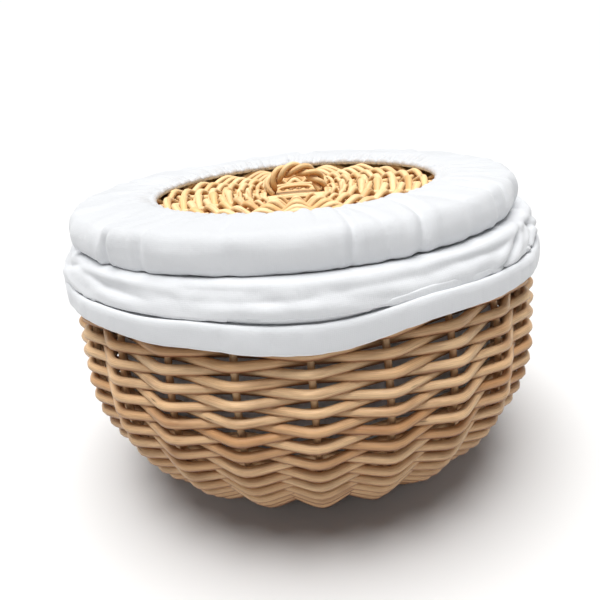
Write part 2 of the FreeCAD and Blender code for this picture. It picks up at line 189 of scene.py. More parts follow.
def rolled_rod(name, points, outs, half_out, half_along, sides=10, closed=False):
    """A rod along points. Outs are the directions of its first half size at each point."""
    points, outs = np.asarray(points, float), np.asarray(outs, float)
    if closed:
        points, outs = np.vstack([points, points[:1]]), np.vstack([outs, outs[:1]])
        runs = np.roll(points[:-1], -1, 0) - np.roll(points[:-1], 1, 0)
        runs = unit(np.vstack([runs, runs[:1]]))
    else:
        runs = unit(np.gradient(points, axis=0))
    outs = unit(outs - runs * (outs * runs).sum(1)[:, None])
    sides_way = np.cross(runs, outs)
    last = len(points) - 1
    piece, along, around = flat_grid(name, last, sides)
    step = np.rint(along * last).astype(int)
    half_out = np.broadcast_to(half_out, len(points))[step]
    half_along = np.broadcast_to(half_along, len(points))[step]
    angle = TURN * np.rint(around * sides) / sides
    set_places(
        piece,
        points[step]
        + outs[step] * (half_out * np.cos(angle))[:, None]
        + sides_way[step] * (half_along * np.sin(angle))[:, None],
    )
    length = np.linalg.norm(np.diff(points, axis=0), axis=1).sum()
    scale_uv(piece, length, math.pi * float(np.mean(half_out) + np.mean(half_along)))
    set_tone(piece, draw.random())
    close_up(piece, not closed)
    return piece


def one_piece(name, parts, material, body, slot, *nodes):
    """Joins the parts into the named piece, gives it its material and puts it in the frame."""
    select_only(parts[0])
    for part in parts:
        part.select_set(True)
    if len(parts) > 1:
        bpy.ops.object.join()
    piece = bpy.context.object
    piece.name = name
    piece.data.name = name
    piece.data.materials.clear()
    piece.data.materials.append(material)
    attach(piece, body)
    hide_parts(*nodes)
    return piece


def at(radius, level, angle):
    return np.array((radius * math.cos(angle), radius * math.sin(angle), level))


def softened(corners, cuts, passes, closed=False):
    """Straight runs between corners cut into even steps, with the corners worn round."""
    corners = np.asarray(corners, float)
    if closed:
        corners = np.vstack([corners, corners[:1]])
    share = np.linspace(0, len(corners) - 1, (len(corners) - 1) * cuts + 1)
    whole = np.minimum(share.astype(int), len(corners) - 2)
    part = (share - whole)[:, None]
    points = corners[whole] * (1 - part) + corners[whole + 1] * part
    if closed:
        points = points[:-1]
    for _ in range(passes):
        if closed:
            points = (np.roll(points, 1, 0) + 2 * points + np.roll(points, -1, 0)) / 4
        else:
            points[1:-1] = (points[:-2] + 2 * points[1:-1] + points[2:]) / 4
    return points


# Willow work

def weave_offset(reach, spacing, bend):
    """How far a rod's corners lie outside and inside the surface that it weaves through."""
    outer = inner = reach
    for _ in range(12):
        slope = math.atan((outer + inner) / spacing)
        outer = reach / math.cos(min(slope + bend, 1.2))
        inner = reach / math.cos(slope - bend)
    return outer, inner


def woven_rod(name, centre, out, along, reach, bend, count, row, turn, sizes):
    """One round. Centre is (radius, level). Sizes are the rod's half sizes: through the
    weave, along it at a support, and along it where it crosses its neighbours."""
    cuts = 10
    across, thick, squeezed = sizes
    outer, inner = weave_offset(reach, TURN * centre[0] / count, bend)
    corners, outs = [], []
    first = 5 * row + 1
    lift = draw.uniform(-1, 1) * 0.00015
    for i in range(count + 1):
        angle = turn + TURN * (first + i) / count
        angle += 0.0006 / centre[0] * ((i == 0) - (i == count))
        side = outer if (first + i + row) % 2 == 0 else -inner
        side += draw.uniform(-0.00025, 0.0005) * (1 if side > 0 else -1)
        side *= 1.08
        lift = 0.6 * lift + draw.uniform(-0.00028, 0.00028)
        corners.append(
            at(centre[0] + out[0] * side + along[0] * lift, centre[1] + out[1] * side + along[1] * lift, angle)
        )
        outs.append(at(out[0], out[1], angle))
    points = softened(corners, cuts, 2)
    outs = softened(outs, cuts, 0)
    share = np.linspace(0, count, len(points))
    near = np.abs(np.cos(share * math.pi)) ** 1.5
    taper = 1 + 0.05 * draw.choice((-1, 1)) * np.linspace(-1, 1, len(points))
    taper *= draw.uniform(0.96, 1.03)
    half_along = (squeezed + (thick - squeezed) * near) * taper
    return rolled_rod(name, points, outs, across * taper, half_along)


def wall_frame(length):
    """Centre (radius, level), outward and upward directions of the wall at that length."""
    quarter = TURN_RADIUS * math.pi / 2
    if length < quarter:
        a = length / TURN_RADIUS
        centre = (base_edge + TURN_RADIUS * math.sin(a), belly_level - TURN_RADIUS * math.cos(a))
        return centre, (math.sin(a), -math.cos(a)), (math.cos(a), math.sin(a))
    a = (length - quarter) / UPPER_RADIUS
    centre = (belly_radius - UPPER_RADIUS * (1 - math.cos(a)), belly_level + UPPER_RADIUS * math.sin(a))
    return centre, (math.cos(a), math.sin(a)), (-math.sin(a), math.cos(a))


def make_wall(material):
    sizes = (ROD_ACROSS, ROD_THICK, ROD_SQUEEZED)
    reach = STAKE_RADIUS + ROD_ACROSS + ROD_PLAY
    for pair in range(wall_rows // 2):
        rods = []
        for row in (2 * pair, 2 * pair + 1):
            centre, out, along = wall_frame(WALL_FOOT_GAP + wall_pitch * (row + 0.5))
            rods.append(woven_rod(
                f"rod_{row}", centre, out, along, reach, math.pi / STAKE_COUNT, STAKE_COUNT, row, 0, sizes
            ))
        one_piece(f"wall_rods_{pair + 1:02d}", rods, material, "basket", "willow", f"siding_chase_{pair + 1:02d}")


def make_stakes(material):
    foot = stick_reach("base_split_sticks") + ROD_PLAY
    line = [((foot, base_level), (0.0, -1.0)), ((base_edge - 0.01, base_level), (0.0, -1.0))]
    for length in np.linspace(0, wall_length, 48):
        centre, out, _ = wall_frame(length)
        line.append((centre, out))
    rods = []
    for i in range(STAKE_COUNT):
        angle = TURN * i / STAKE_COUNT
        points = [at(c[0], c[1], angle) for c, _ in line]
        outs = [at(o[0], o[1], angle) for _, o in line]
        radius = np.linspace(STAKE_RADIUS * 1.04, STAKE_RADIUS * 0.94, len(points))
        rods.append(rolled_rod(f"stake_{i}", points, outs, radius, radius))
    one_piece("upright_stakes", rods, material, "basket", "willow", "stakes")


def stick_reach(node):
    """How far a node's sticks reach from the middle."""
    return max(math.hypot(v.co.x, v.co.y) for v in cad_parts[node].data.vertices)


def first_stick(count):
    """The angle of the first stick where a bundle of that many crosses another."""
    return math.radians(-45 * (count - 1) / count)


def laid_rope(name, centre_at, side_at, up_at, radius, lay, turns, steps, strand, closed):
    points, outs = [], []
    for i in range(steps if closed else steps + 1):
        share = i / steps
        a = TURN * (turns * share + strand / 3)
        outward = side_at(share) * math.cos(a) + up_at(share) * math.sin(a)
        points.append(centre_at(share) + outward * lay)
        outs.append(outward)
    return rolled_rod(name, points, outs, radius, radius, 12, closed)


def rope_ring(name, radius, level, rope_radius, turns, material, body, slot, node):
    """Three strands laid round a circle. Together they are as thick as the rope."""
    strand = rope_radius * 0.455
    rods = [
        laid_rope(
            f"{name}_{k}",
            lambda share: at(radius, level, TURN * share),
            lambda share: at(1, 0, TURN * share),
            lambda share: UP,
            strand * 1.04, rope_radius - strand, turns, turns * 14, k, True,
        )
        for k in range(3)
    ]
    return one_piece(name, rods, material, body, slot, node)


def crossed_sticks(name, count, radius, length, level, turn, quarter_turned):
    """One half of a slath: sticks side by side at the crossing that fan out evenly."""
    width = 2 * radius + ROD_PLAY
    sticks = []
    for k in range(count):
        offset, angle = (k - (count - 1) / 2) * width, math.radians(90 / count * (k - (count - 1) / 2))
        bend = abs(offset / math.tan(angle)) if abs(offset) > 1e-9 else length * 0.3
        corners = [
            np.array((-length * math.cos(angle), length * math.sin(angle), level)),
            np.array((-bend, offset, level)),
            np.array((bend, offset, level)),
            np.array((length * math.cos(angle), length * math.sin(angle), level)),
        ]
        points = softened(corners, 16, 3)
        spin = turn + (math.pi / 2 if quarter_turned else 0)
        c, s = math.cos(spin), math.sin(spin)
        points = np.column_stack(
            [points[:, 0] * c - points[:, 1] * s, points[:, 0] * s + points[:, 1] * c, points[:, 2]]
        )
        middle = np.exp(-(np.linalg.norm(points[:, :2], axis=1) / 0.022) ** 4)
        flat = radius * (1 - 0.62 * middle) if quarter_turned else radius * (1 + 0.02 * middle)
        outs = np.tile(UP, (len(points), 1))
        sticks.append(rolled_rod(f"{name}_{k}", points, outs, flat, radius, 12))
    return sticks


def flat_weave(name, level, first, pitch, rows, sizes, support, count, turn, start_row=0):
    rods = []
    for k in range(rows):
        rods.append(
            woven_rod(
                f"{name}_{k}", (first + pitch * k, level), (0.0, 1.0), (1.0, 0.0),
                support + sizes[0] + ROD_PLAY, 0, count, start_row + k, turn, sizes,
            )
        )
    return rods


def make_base(material):
    half = math.pi / STAKE_COUNT
    count = STAKE_COUNT // 8
    length = stick_reach("base_split_sticks")
    for name, turned_stick, node in (
        ("base_long_sticks", False, "base_split_sticks"),
        ("base_through_sticks", True, "base_pierced_sticks"),
    ):
        sticks = crossed_sticks(name, count, BASE_STICK_RADIUS, length, base_level, half, turned_stick)
        one_piece(name, sticks, material, "basket", "willow", node)
    along = (BASE_ROW_PITCH - ROD_PLAY) / 2
    sizes = (BASE_ROD_RADIUS, along * 1.12, along)
    inner_rows = int((length - BASE_FIRST_ROW - along) // BASE_ROW_PITCH) + 1
    rods = flat_weave(
        "base_rod", base_level, BASE_FIRST_ROW, BASE_ROW_PITCH, inner_rows, sizes,
        BASE_STICK_RADIUS, STAKE_COUNT // 2, half + first_stick(count),
    )
    outer_first = length + along + 0.0013
    foot_rope = (foot_high.z - foot_low.z + 0.0005) / 2
    foot_radius = foot_high.y - foot_rope
    room = foot_radius - foot_rope - BASE_ROD_RADIUS - ROD_PLAY - outer_first
    rods += flat_weave(
        "base_outer_rod", base_level, outer_first, BASE_ROW_PITCH, int(room // BASE_ROW_PITCH) + 1, sizes,
        STAKE_RADIUS, STAKE_COUNT, 0, inner_rows,
    )
    one_piece("base_rods", rods, material, "basket", "willow", "base_weave")
    make_binding("base_slath_binding", base_level, BASE_STICK_RADIUS, half, (0.018, 0.0222, 0.0264, 0.0306),
                 material, "basket", "willow", "base_centre_binding")


def make_binding(name, level, stick_radius, turn, radii, material, body, slot, node):
    """Fine rod wound round the crossing: over one bundle of sticks and under the next."""
    fine = 0.0017
    rods = []
    for k, reach in enumerate(radii):
        corners = []
        for side in range(4):
            for part in (-0.62, -0.25, 0.25, 0.62):
                a = turn + math.pi / 2 * side + math.atan(part)
                over = (stick_radius + fine) * (1 if (side + k) % 2 else -1)
                height = over if abs(part) < 0.5 else over * 0.75
                corners.append(at(reach / math.cos(math.atan(part)), level + height, a))
        points = softened(corners, 6, 3, True)
        outs = np.tile(UP, (len(points), 1))
        rods.append(rolled_rod(f"{name}_{k}", points, outs, fine, fine * 1.15, 10, True))
    return one_piece(name, rods, material, body, slot, node)


def make_lid_willow(material):
    border_rope = (border_high.z - border_low.z) / 2
    border_radius = border_high.x - border_rope
    length = stick_reach("lid_split_sticks")
    bundle = LID_STICK_COUNT // 4
    for name, turned_stick, node in (
        ("lid_long_sticks", False, "lid_split_sticks"),
        ("lid_through_sticks", True, "lid_pierced_sticks"),
    ):
        sticks = crossed_sticks(name, bundle, lid_stick_radius, length, lid_level, 0, turned_stick)
        one_piece(name, sticks, material, "lid", "pale_willow", node)
    turn = first_stick(bundle)
    along = (LID_INNER_PITCH - ROD_PLAY) / 2
    inner = flat_weave(
        "lid_inner_rod", lid_level, LID_INNER_FIRST_ROW, LID_INNER_PITCH, lid_inner_rows,
        (LID_INNER_ROD, along * 1.1, along), lid_stick_radius, LID_STICK_COUNT, turn,
    )
    inner_edge = LID_INNER_FIRST_ROW + (lid_inner_rows - 0.5) * LID_INNER_PITCH
    pitch = (length - LID_END_GAP - inner_edge) / lid_rows
    outer = flat_weave(
        "lid_rod", lid_level, inner_edge + pitch / 2, pitch, lid_rows,
        (LID_ROD_ACROSS, LID_ROD_THICK, LID_ROD_SQUEEZED), lid_stick_radius, LID_STICK_COUNT, turn,
    )
    for name, node, rods in (("lid_inner_rods", "lid_inner_chase", inner), ("lid_rods", "lid_chase", outer)):
        for pair in range(len(rods) // 2):
            number = f"{pair + 1:02d}"
            one_piece(f"{name}_{number}", rods[2 * pair:2 * pair + 2], material, "lid", "pale_willow",
                      f"{node}_{number}")
    rope_ring("lid_edge_rope", border_radius, lid_level, border_rope, LID_TURNS, material, "lid", "pale_willow",
              "lid_border")
    make_binding("lid_slath_binding", lid_level, lid_stick_radius, 0, (0.0240, 0.0278, 0.0316, 0.0354),
                 material, "lid", "pale_willow", "lid_centre_binding")


def make_handle(material):
    low = min(b[0].z for b in handle_boxes)
    high = max(b[1].z for b in handle_boxes)
    half_deep = max(b[1].y for b in handle_boxes)
    lay = half_deep - HANDLE_STRAND_RADIUS
    half_span = max(b[1].x for b in handle_boxes) - half_deep
    top = high - half_deep
    leg_high = top - half_span * 0.8

    bend = math.pi * math.sqrt((half_span ** 2 + (top - leg_high) ** 2) / 2)
    leg = (leg_high - low) / (2 * (leg_high - low) + bend)

    def line(share):
        if share < leg:
            return np.array((-half_span, 0, low + (leg_high - low) * share / leg))
        if share > 1 - leg:
            return np.array((half_span, 0, low + (leg_high - low) * (1 - share) / leg))
        a = math.pi * (1 - (share - leg) / (1 - 2 * leg))
        return np.array((half_span * math.cos(a), 0, leg_high + (top - leg_high) * math.sin(a)))

    def side(share):
        run = unit(line(min(1, share + 0.004)) - line(max(0, share - 0.004)))
        return np.array((-run[2], 0, run[0]))

    for k in range(3):
        strand = laid_rope(
            f"handle_rope_{k + 1}", line, side, lambda share: np.array((0, 1.0, 0)),
            HANDLE_STRAND_RADIUS * 1.06, lay, HANDLE_TURNS, 96, k, False,
        )
        one_piece(f"handle_rope_{k + 1}", [strand], material, "lid", "pale_willow", f"handle_strand_{k + 1}")


# Cotton

def wave(angle, count, seed):
    """A smooth irregular number from -1 to 1 that closes round the basket."""
    x, y = math.cos(angle) * count / TURN, math.sin(angle) * count / TURN
    return noise.noise(Vector((x * 1.7 + seed, y * 1.7 - seed, seed * 0.37))) * 1.8


def gathers(angle, count, seed):
    """Rounded puffs with narrow valleys between, from 0 in a valley to 1."""
    phase = count * angle + 2.6 * wave(angle, 9, seed) + 1.3 * wave(angle, 23, seed + 5)
    return abs(math.sin(phase / 2)) ** 0.6


def profile_curve(points, steps):
    """A smooth line through (radius, level) points, by even length."""
    points = [Vector((r, z, 0)) for r, z in points]
    points = [points[0] * 2 - points[1], *points, points[-1] * 2 - points[-2]]
    fine = []
    for a, b, c, d in zip(points, points[1:], points[2:], points[3:]):
        for i in range(24):
            t = i / 24
            fine.append(
                (b * 2 + (c - a) * t + (a * 2 - b * 5 + c * 4 - d) * t * t + (b * 3 - a - c * 3 + d) * t ** 3) / 2
            )
    fine.append(points[-2])
    fine = np.array([(p.x, p.y) for p in fine])
    reach = np.concatenate([[0], np.cumsum(np.linalg.norm(np.diff(fine, axis=0), axis=1))])
    even = np.linspace(0, reach[-1], steps + 1)
    line = np.column_stack([np.interp(even, reach, fine[:, 0]), np.interp(even, reach, fine[:, 1])])
    return line, reach[-1]


def cloth_round(name, columns, rows, profile_at, push_at, width):
    """Cloth that closes round the basket: profile_at(angle) gives a line of (radius, level)
    points, and push_at(angle, share, length) how far the cloth stands off it."""
    piece, around, across = flat_grid(name, columns, rows)
    column = np.rint(around * columns).astype(int)
    row = np.rint(across * rows).astype(int)
    places = np.zeros((columns + 1, rows + 1, 3))
    for c in range(columns):
        angle = TURN * c / columns
        line, length = profile_curve(profile_at(angle), rows)
        run = unit(np.gradient(line, axis=0))
        side = np.column_stack([-run[:, 1], run[:, 0]])
        for r in range(rows + 1):
            push, slide = push_at(angle, r / rows, length)
            radius, level = line[r] + side[r] * push
            places[c, r] = at(radius, level, angle + slide)
    places[columns] = places[0]
    set_places(piece, places[column, row])
    scale_uv(piece, width, length)
    return piece


def cloth_piece(piece, material, body, *nodes, thick=CLOTH):
    """Welds the seam, gives the cloth its thickness and puts it in the frame."""
    select_only(piece)
    bpy.ops.object.mode_set(mode="EDIT")
    bpy.ops.mesh.select_all(action="SELECT")
    bpy.ops.mesh.remove_doubles(threshold=1e-7)
    bpy.ops.object.mode_set(mode="OBJECT")
    bpy.ops.object.shade_smooth()
    solid = piece.modifiers.new("thickness", "SOLIDIFY")
    solid.thickness = thick
    solid.offset = -1
    solid.use_even_offset = False
    piece.data.materials.clear()
    piece.data.materials.append(material)
    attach(piece, body)
    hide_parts(*nodes)
    return piece


def bump(x, centre, width):
    return math.exp(-((x - centre) / width) ** 2)


def angle_gap(a, b):
    return (a - b + math.pi) % TURN - math.pi


# Creases of the lid's cover: where round the lid (degrees), how far each slants from the
# opening to the outer edge (degrees), half width (degrees) and depth (metres)
COVER_CREASES = (
    (218, 10, 2.2, 0.0030), (230, -9, 1.1, 0.0038), (238, -3, 1.2, 0.0024), (252, 6, 1.6, 0.0014),
    (281, -2, 0.9, 0.0026), (285, 3, 1.2, 0.0018), (297, -4, 1.3, 0.0038), (306, 4, 1.9, 0.0022),
    (318, 4, 1.3, 0.0030), (326, -3, 1.1, 0.0026), (335, 3, 1.2, 0.0032), (343, -3, 1.0, 0.0028),
    (352, 4, 1.2, 0.0026), (3, -2, 1.2, 0.0024), (15, -4, 1.6, 0.0022), (38, 4, 1.8, 0.0026),
    (61, -5, 1.6, 0.0022), (84, 3, 1.8, 0.0026), (109, -3, 1.6, 0.0020), (133, 4, 1.9, 0.0028),
    (158, -4, 1.7, 0.0024), (181, 3, 1.7, 0.0026), (201, 5, 1.8, 0.0030),
)


def crease_depth(angle, share):
    depth = 0.0
    for place, slant, width, deep in COVER_CREASES:
        gap = math.degrees(angle_gap(angle, math.radians(place + slant * (share - 0.4))))
        if abs(gap) < 4 * width:
            depth += deep * (bump(gap, 0, width) - 0.45 * bump(abs(gap), 2.1 * width, width))
    return depth


def make_cover(material, elastic):
    """The lid's cover, from the gathered edge of the opening over the side to under the lid."""
    roll = (opening_high.z - opening_low.z) / 2
    opening = opening_high.x - roll
    opening_level = (opening_high.z + opening_low.z) / 2
    under = under_high.x - roll
    under_level = (under_high.z + under_low.z) / 2
    top, low, out = cover_high.z, cover_low.z, cover_high.x
    # The opening's edge lies on the lid's rods
    edge = min(opening_level, stick_high.z + 2 * LID_ROD_ACROSS + 0.0008)

    def profile(angle):
        soft = 0.0014 * wave(angle, 11, 3.1)
        sag = 0.0010 * wave(angle, 6, 8.4)
        puff = 0.0012 + 0.0012 * wave(angle, 15, 1.7)
        rim = out + LID_COVER_LEAN * -math.cos(angle)
        return [
            (opening + 0.0006, edge - 0.0014),
            (opening - 0.0014, edge + 0.0002),
            (opening - 0.0002, edge + 0.0018),
            (opening + 0.0030, edge + 0.0016),
            (opening + 0.0120, top - 0.0004 + puff),
            (opening + 0.0280, top + 0.0002 + puff + sag),
            (rim - 0.0100, top - 0.0002 + sag),
            (rim - 0.0034, top - 0.0030 + sag),
            (rim - 0.0006 + soft * 0.5, top - 0.0085),
            (rim + soft, (top + low) / 2),
            (rim - 0.0006 + soft, low + 0.0070),
            (rim - 0.0040, low + 0.0014),
            (rim - 0.0140, low + 0.0006),
            (under + 0.0100, low + 0.0006),
            (under + 0.0026, under_level + 0.0014),
            (under, under_level + 0.0022),
            (under - 0.0022, under_level),
            (under, under_level - 0.0020),
        ]

    def push(angle, share, length):
        reach = share * length
        fine = gathers(angle, 104, 2.0) - 0.6
        broad = gathers(angle, 52, 6.5) - 0.6
        near = bump(reach, 0.006, 0.007)
        rising = 1 - bump(reach, 0.0, 0.0035)
        fade = math.exp(-max(0.0, reach - 0.010) / (0.018 + 0.012 * wave(angle, 17, 5.2)))
        side = bump(share, 0.55, 0.12)
        tuck = 1 / (1 + math.exp(-(share - 0.72) / 0.02))
        off = 0.0012 * fine * near
        off += 0.0034 * broad * fade * rising
        off += 0.0009 * fine * fade * rising
        off += 0.0012 * wave(angle, 31, 4.4) * side
        off += 0.0012 * (gathers(angle, 64, 9.9) - 0.6) * tuck * (1 - bump(share, 1.0, 0.05))
        body = max(0.0, 1 - bump(share, 0.0, 0.10) - 0.9 * tuck)
        off -= crease_depth(angle, share * 1.6) * body * (0.5 + 0.3 * side)
        off += 0.0010 * noise.noise(Vector((math.cos(angle) * 9, math.sin(angle) * 9, share * 7))) * body
        slide = 0.010 * wave(angle, 27, 7.7) * fade * rising
        return off, slide

    piece = cloth_round("lid_cotton_cover", 1080, 84, profile, push, TURN * 0.165)
    cloth_piece(piece, material, "lid", "lid_cover", "lid_cover_opening_hem", "lid_cover_under_hem")
    for name, radius, level, node in (
        ("opening_elastic", opening, edge, "lid_cover_opening_elastic"),
        ("under_elastic", under, under_level, "lid_cover_under_elastic"),
    ):
        points = [at(radius, level, TURN * i / 180) for i in range(180)]
        outs = np.tile(UP, (180, 1))
        cord = rolled_rod(name, points, outs, 0.0009, 0.0009, 8, True)
        one_piece(name, [cord], elastic, "lid", "elastic", node)


# How far the hem hangs above its level in the frame (degrees round from the front, metres)
HEM_RISES = (
    (-180, 0.0100), (-90, 0.0120), (-44, 0.0132), (-32, 0.0114), (-22, 0.0108), (-16, 0.0092),
    (-10, 0.0070), (-4, 0.0054), (2, 0.0052), (7, 0.0068), (12, 0.0100), (17, 0.0130),
    (23, 0.0156), (31, 0.0162), (40, 0.0140), (60, 0.0110), (90, 0.0105), (180, 0.0100),
)
HEM_BAND = 0.0203           # from the hem's level in the frame up to the crease
HEM_STAND = 0.0046          # how far the roll above the crease is set in from the hem
CUFF_SEAM = -33             # degrees round from +X

# Creases of the cuff: where along the round (degrees), where down the cuff (share), how far
# it runs (degrees), how much it slants (share) and depth (metres)
CUFF_CREASES = (
    (196, 0.42, 9, 0.10, 0.0028), (206, 0.30, 8, -0.08, 0.0020), (214, 0.50, 10, 0.08, 0.0020),
    (226, 0.30, 14, 0.05, 0.0014), (246, 0.22, 16, 0.03, 0.0012), (262, 0.34, 22, 0.05, 0.0010),
    (286, 0.30, 20, -0.03, 0.0009), (304, 0.26, 12, 0.03, 0.0010), (314, 0.40, 6, -0.10, 0.0026),
    (321, 0.30, 5, -0.10, 0.0024), (328, 0.42, 6, -0.12, 0.0026), (336, 0.32, 6, 0.10, 0.0024),
    (350, 0.34, 16, 0.05, 0.0020), (12, 0.44, 14, -0.07, 0.0022), (40, 0.38, 20, 0.06, 0.0022),
    (72, 0.46, 18, -0.06, 0.0020), (104, 0.36, 22, 0.07, 0.0022), (138, 0.44, 18, -0.06, 0.0024),
    (168, 0.38, 14, 0.08, 0.0024),
)


def make_liner(material, elastic):
    """The liner in two sheets that meet over the rim: the bag inside and the cuff outside."""
    arch_top = brim_high.z
    rim = rim_radius
    hem_base = hem_low.z
    hem_out = hem_high.x
    stand = hem_out - HEM_STAND

    def hem_rise(angle):
        """How far the hem hangs above its level in the frame there."""
        around = math.degrees(angle_gap(angle, -math.pi / 2))
        return float(np.interp(around, *zip(*HEM_RISES))) + 0.0006 * wave(angle, 15, 6.6)

    def cuff_profile(angle):
        around = math.degrees(angle_gap(angle, 0))
        rise = hem_rise(angle)
        base = hem_base + rise
        crease = hem_base + HEM_BAND + 0.8 * rise + 0.0010 * wave(angle, 13, 1.2)
        roll = stand + 0.0006 + 0.0016 * wave(angle, 7, 2.2)
        tuck = 0.0050 + 0.0014 * wave(angle, 9, 8.1)
        band = hem_out - 0.0004 + 0.0004 * wave(angle, 6, 0.4)
        step = 0.0012 * bump(around, CUFF_SEAM - 3, 3.5)
        return [
            (rim - 0.0060, arch_top + 0.0004),
            (rim + 0.0050, arch_top + 0.0012),
            (rim + 0.0120, arch_top - 0.0006),
            (roll - 0.0040, arch_top - 0.0060),
            (roll - 0.0006, arch_top - 0.0130),
            (roll + 0.0010, arch_top - 0.0200),
            (roll + 0.0004, crease + 0.0042),
            (roll - 0.0022, crease + 0.0008),
            (roll - tuck, crease - 0.0010),
            (band - 0.0052, crease - 0.0026),
            (band - 0.0016, crease - 0.0016),
            (band + step, crease - 0.0042),
            (band + 0.0004 + step, base + 0.0090),
            (band + 0.0004 + step, base + 0.0022),
            (band - 0.0006, base + 0.0003),
            (band - 0.0015, base + 0.0022),
            (band - 0.0016, base + 0.0100),
        ]

    def cuff_push(angle, share, length):
        body = bump(share, 0.31, 0.17)
        band = bump(share, 0.80, 0.09)
        above = 1 / (1 + math.exp((share - 0.48) / 0.018))
        off = 0.0
        for place, height, runs, slant, deep in CUFF_CREASES:
            gap = math.degrees(angle_gap(angle, math.radians(place)))
            if abs(gap) < 2.2 * runs:
                middle = height + slant * gap / runs
                off -= above * deep * math.exp(-(gap / runs) ** 2) * (
                    bump(share, middle, 0.035) - 0.5 * bump(share, middle + 0.07, 0.04)
                    - 0.35 * bump(share, middle - 0.07, 0.04)
                )
        off += 0.0022 * noise.noise(Vector((math.cos(angle) * 5, math.sin(angle) * 5, share * 5 + 3))) * body
        off += 0.0012 * noise.noise(Vector((math.cos(angle) * 13, math.sin(angle) * 13, share * 9))) * body
        off += 0.0006 * (gathers(angle, 70, 3.3) - 0.6) * band
        off += 0.0005 * wave(angle, 40, 1.1) * band
        return off, 0.0

    piece = cloth_round("liner_cotton_cuff", 900, 96, cuff_profile, cuff_push, TURN * 0.205)
    cloth_piece(piece, material, "liner", "liner_cuff", "liner_hem")

    floor_level = bottom_low.z
    side = 2 * rim - brim_high.x

    def bag_profile(angle):
        points = [(radius, floor_level + 0.0012) for radius in (0.0, 0.03, base_edge - 0.02)]
        reach = belly_level - floor_level - 0.0014
        top = math.asin((side - base_edge - 0.0026) / reach)
        for k in range(7):
            a = top * k / 6
            points.append((base_edge + reach * math.sin(a), belly_level - reach * math.cos(a)))
        for k in range(1, 6):
            points.append((side - 0.0022, points[9][1] + (rim_level - points[9][1]) * k / 6))
        for k in range(7):
            a = math.pi * (1 - k / 6)
            points.append((rim + (rim - side) * math.cos(a), rim_level + (rim - side) * math.sin(a)))
        return points

    def bag_push(angle, share, length):
        folds = (gathers(angle, 26, 4.1) - 0.2) * bump(share, 0.62, 0.20)
        base = bump(share, 0.16, 0.12) * gathers(angle, 18, 7.3)
        return 0.0026 * folds + 0.0012 * base, 0.0

    piece = cloth_round("liner_cotton_bag", 540, 110, bag_profile, bag_push, TURN * 0.16)
    cloth_piece(piece, material, "liner", "liner_bottom", "liner_turn", "liner_wall", "liner_brim")

    points = [
        at(hem_out - 0.0010, hem_base + hem_rise(TURN * i / 180) + 0.0052, TURN * i / 180) for i in range(180)
    ]
    outs = [at(1, 0, TURN * i / 180) for i in range(180)]
    ribbon = rolled_rod("hem_elastic", points, outs, 0.00035, 0.0033, 8, True)
    one_piece("hem_elastic", [ribbon], elastic, "liner", "elastic", "liner_hem_elastic")


# Materials

def new_material(name):
    material = bpy.data.materials.new(name)
    material.use_nodes = True
    tree = material.node_tree
    return material, tree, tree.nodes["Principled BSDF"]


def node(tree, kind, settings=None, **inputs):
    """A node with its settings and with its inputs set to numbers or linked to sockets."""
    made = tree.nodes.new(kind)
    for key, value in (settings or {}).items():
        setattr(made, key, value)
    for key, value in inputs.items():
        socket = made.inputs[int(key[1:])] if key[0] == "i" and key[1:].isdigit() else made.inputs[key]
        if isinstance(value, bpy.types.NodeSocket):
            tree.links.new(value, socket)
        else:
            socket.default_value = value
    return made


def ramp(tree, factor, *stops):
    made = tree.nodes.new("ShaderNodeValToRGB")
    while len(made.color_ramp.elements) < len(stops):
        made.color_ramp.elements.new(0.5)
    for element, (place, colour) in zip(made.color_ramp.elements, stops):
        element.position = place
        element.color = (*colour, 1) if isinstance(colour, tuple) else (colour, colour, colour, 1)
    tree.links.new(factor, made.inputs["Fac"])
    return made.outputs["Color"]


def mixed(tree, factor, a, b, mode="MIX"):
    made = tree.nodes.new("ShaderNodeMix")
    made.data_type = "RGBA"
    made.blend_type = mode
    for socket, value in ((made.inputs[0], factor), (made.inputs[6], a), (made.inputs[7], b)):
        if isinstance(value, bpy.types.NodeSocket):
            tree.links.new(value, socket)
        elif isinstance(value, tuple):
            socket.default_value = (*value, 1)
        else:
            socket.default_value = value
    return made.outputs[2]


def smooth_step(tree, value, start, end, first, last):
    return node(
        tree, "ShaderNodeMapRange", {"interpolation_type": "SMOOTHSTEP"},
        Value=value, i1=start, i2=end, i3=first, i4=last,
    ).outputs[0]


